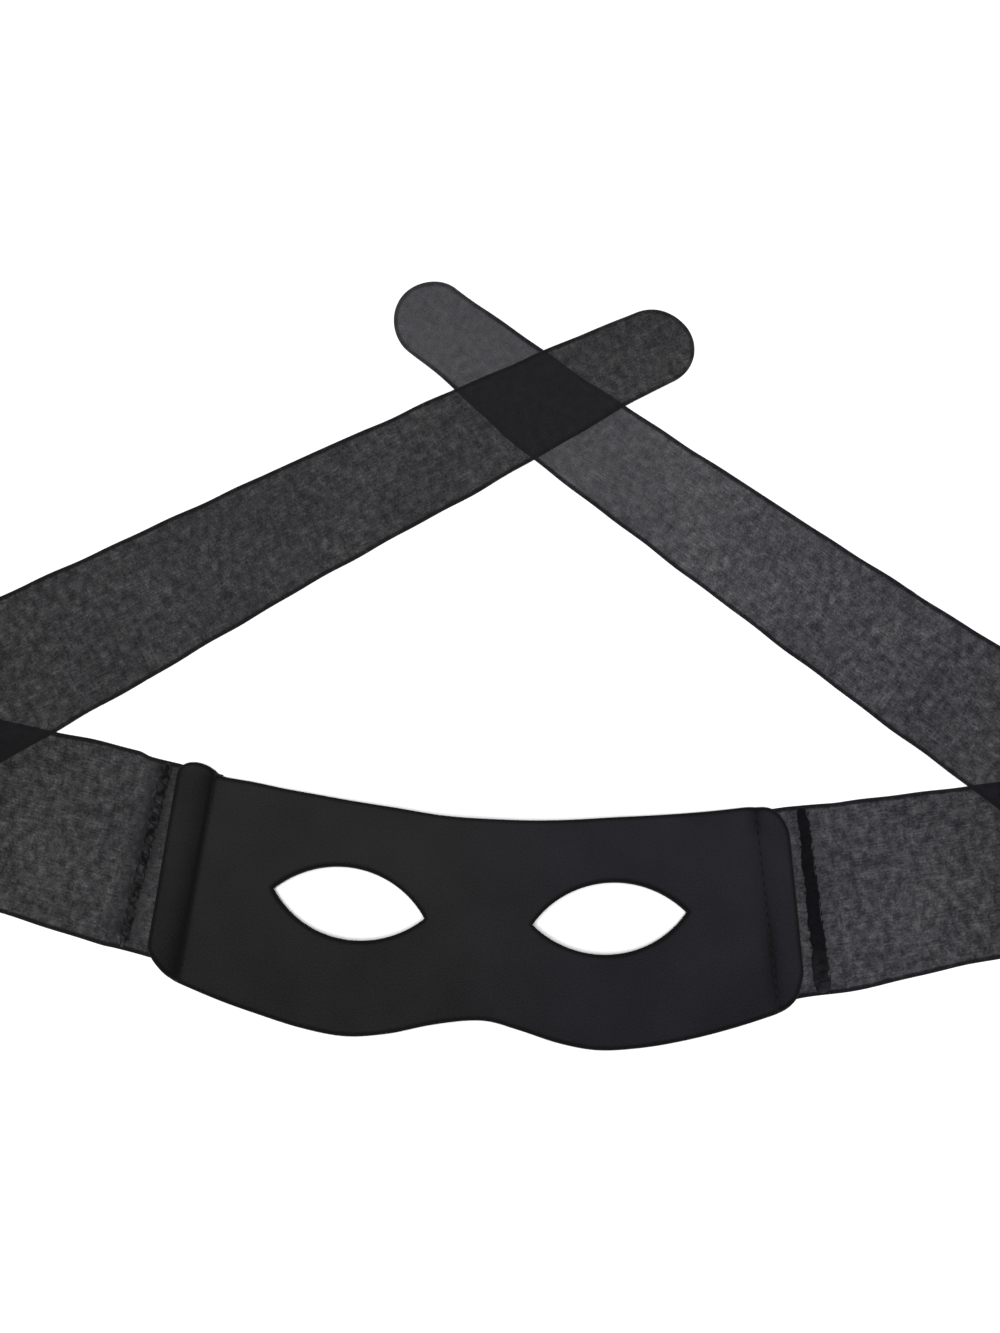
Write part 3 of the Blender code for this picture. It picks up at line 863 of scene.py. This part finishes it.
def tie_material(name, veil, tip, patchy, dark, light):
    """Sheer knit: veil is how much one face of the cloth hides. The tip tells where the tie turns
    finer, from and to, by how much its veil is less there and what share of its mottling is left."""
    material, tree, shader = new_material(name, 0.85, 0.12, 0.05)
    where = node(tree, "ShaderNodeUVMap", uv_map="cloth")
    along = node(tree, "ShaderNodeSeparateXYZ", {0: where})
    start, end, thinner, smoother = tip
    fine = noise(tree, where, 1500, 2.0)
    blotch = noise(tree, where, 420, 2.0, (1.0, 0.7, 1.0))
    streak = noise(tree, where, 700, 1.0, (0.35, 1.6, 1.0))
    cloud = noise(tree, where, 40, 2.0)
    loops = knit(tree, where, 0.00085, 0.00070)
    seam = mark(tree, "seam")
    patches = product(tree, sums(tree, (blotch, 1.2), (fine, 0.5), (1.0, 0.11)), seam)
    mottle = sums(tree, (fine, -0.30), (blotch, -0.33), (streak, -0.16), (cloud, -0.12))
    mottle = product(tree, mottle, ramp(tree, along, start + 0.07, end + 0.06, 1.0, smoother))
    cover = sums(tree, (mottle, 1.0), (patches, patchy), (loops, 0.05), (mark(tree, "rim"), 0.24),
                 (mark(tree, "crease"), 0.035), (ramp(tree, along, start, end, 0.0, -thinner), 1.0),
                 (1.0, veil - 0.025))
    cover = node(tree, "ShaderNodeClamp", {"Value": cover, "Min": 0.2, "Max": 0.97})
    tree.links.new(cover, shader.inputs["Alpha"])
    share = sums(tree, (fine, 1.0), (blotch, 0.8), (loops, 0.2), (mark(tree, "rim"), -0.5),
                 (mark(tree, "fold"), -0.8), (1.0, 0.47))
    tinted(tree, shader, (*dark, 1.0), (*light, 1.0), share)
    bumped(tree, shader, sums(tree, (loops, 0.6), (fine, 0.6)), 0.00012)
    return material


def thread_material(name, dark, light, specular, blotchy, fade=None):
    """Thread or rolled cloth, in blotches; the fade tells where across the floor it turns lighter."""
    material, tree, shader = new_material(name, 0.8, specular, 0.02)
    where = node(tree, "ShaderNodeTexCoord", output=3)
    strands = noise(tree, where, 2400, 2.0)
    lumps = noise(tree, where, 430, 2.0)
    share = sums(tree, (strands, 1.0), (lumps, blotchy), (1.0, 0.45))
    if fade:
        split = node(tree, "ShaderNodeSeparateXYZ", {0: where}, output=1)
        faded = ramp(tree, split, fade[0], fade[1], 1.0, 0.0)
        share = sums(tree, (faded, sums(tree, (lumps, 9.0), (1.0, 2.2))), (share, 1.0))
    colour = mixed(tree, (*dark, 1.0), (*light, 1.0), share, clamp=fade is None)
    tree.links.new(colour, shader.inputs["Base Color"])
    bumped(tree, shader, strands, 0.0001)
    return material


# The pieces

LEFT = Tie(0, 0.3949, 0.0575, math.radians(165.5), 0.1050, math.radians(27.6), LEFT_EDGES)
RIGHT = Tie(SECTION_ROWS[-1], 0.3942, 0.0555, math.radians(9.0), 0.1127, math.radians(144.2),
            RIGHT_EDGES)

FACE_CLOTH = face_material()
LEFT_KNIT = tie_material("sheer_knit_left", 0.618, (0.10, 0.16, -0.010, 0.95), 1.3,
                         (0.003, 0.003, 0.0035), (0.0145, 0.0145, 0.0175))
RIGHT_KNIT = tie_material("sheer_knit_right", 0.597, (0.17, 0.30, 0.050, 0.35), 0.25,
                          (0.003, 0.003, 0.0050), (0.0140, 0.0135, 0.0225))
LEFT_SEAM_CLOTH = thread_material("seam_cloth_left", (0.0015, 0.0015, 0.0018), (0.026, 0.026, 0.026),
                                  0.06, 3.5)
# The right seam roll is coloured far darker than the left one: painted shade of a roll that lies in
# shadow, lighter toward the cheek
RIGHT_SEAM_CLOTH_SHADED = thread_material("seam_cloth_right_shaded", (0.0010, 0.0010, 0.0014),
                                   (0.0050, 0.0050, 0.0062), 0.03, 1.0, RIGHT_SEAM_FADE)
BLACK_THREAD = thread_material("black_thread", (0.001, 0.001, 0.0014), (0.0055, 0.0055, 0.0070),
                               0.04, 1.0)

face_piece, face_area = make_face(FACE_CLOTH)
right_piece, right_area = make_tie("tie_right", RIGHT, RIGHT_SEAM, RIGHT_KNIT)
left_piece, left_area = make_tie("tie_left", LEFT, LEFT_SEAM, LEFT_KNIT, below=RIGHT)
left_seam = joined("seam_roll_left", [seam_roll(LEFT, LEFT_SEAM, 0.10)], LEFT_SEAM_CLOTH)
right_seam = joined("seam_roll_right", [seam_roll(RIGHT, RIGHT_SEAM, 0.05)], RIGHT_SEAM_CLOTH_SHADED)
left_loops = joined("overlock_left", overlock(LEFT, LEFT_SEAM, 0.0004, 0.0034, 0.00018), BLACK_THREAD)
right_loops = joined("overlock_right", overlock(RIGHT, RIGHT_SEAM, 0.0002, 0.0030, 0.00016),
                     BLACK_THREAD)
left_stitches = joined("stitches_left", groove_stitches(LEFT_GROOVE_ROW), BLACK_THREAD)
right_stitches = joined("stitches_right", groove_stitches(RIGHT_GROOVE_ROW), BLACK_THREAD)

for piece in (face_piece, right_piece, left_piece, left_seam, right_seam, left_loops, right_loops,
              left_stitches, right_stitches):
    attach(piece, "root")

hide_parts("face")
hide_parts("strap_left")
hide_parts("strap_right")
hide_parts("seam_left")
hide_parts("seam_right")


# Floor, light and camera

def make_floor():
    mesh = bpy.data.meshes.new("floor")
    mesh.from_pydata([(-3, -3, 0), (3, -3, 0), (3, 3, 0), (-3, 3, 0)], [], [(0, 1, 2, 3)])
    material = bpy.data.materials.new("white_floor")
    material.use_nodes = True
    shader = material.node_tree.nodes["Principled BSDF"]
    shader.inputs["Base Color"].default_value = (0.92, 0.92, 0.92, 1.0)
    shader.inputs["Roughness"].default_value = 1.0
    shader.inputs["Specular IOR Level"].default_value = 0.0
    mesh.materials.append(material)
    floor = bpy.data.objects.new("floor", mesh)
    bpy.context.scene.collection.objects.link(floor)


def aim(item, place, target):
    item.location = place
    item.rotation_mode = "QUATERNION"
    item.rotation_quaternion = (Vector(target) - Vector(place)).to_track_quat("-Z", "Y")


def make_light(name, place, size, power):
    lamp = bpy.data.lights.new(name, "AREA")
    lamp.shape = "DISK"
    lamp.size = size
    lamp.energy = power
    light = bpy.data.objects.new(name, lamp)
    bpy.context.scene.collection.objects.link(light)
    aim(light, place, (0, 0, 0))


def make_world(strength):
    world = bpy.data.worlds.new("studio")
    world.use_nodes = True
    world.node_tree.nodes["Background"].inputs["Color"].default_value = (1.0, 1.0, 1.0, 1.0)
    world.node_tree.nodes["Background"].inputs["Strength"].default_value = strength
    bpy.context.scene.world = world


def make_camera():
    """The photograph's view, taken to be from 80 degrees above the floor and 0.9 m away. The lens
    gives 3040.5 pixels to one unit of slope in a picture 1333 pixels high."""
    target = Vector((-0.00010, -0.00232, 0.0))
    elevation = math.radians(80)
    distance = 0.900
    lens = bpy.data.cameras.new("camera")
    lens.sensor_fit = "AUTO"
    lens.sensor_width = 36.0
    lens.lens = 36.0 * 3040.5 / 1333
    lens.clip_start = 0.01
    lens.clip_end = 20.0
    camera = bpy.data.objects.new("camera", lens)
    bpy.context.scene.collection.objects.link(camera)
    aim(camera, target + Vector((0, -math.cos(elevation), math.sin(elevation))) * distance, target)
    bpy.context.scene.camera = camera


make_floor()
make_light("key", (-0.03, -0.24, 1.42), 0.30, 23.5)
make_world(0.32)
make_camera()
bpy.context.scene.view_settings.view_transform = "Standard"
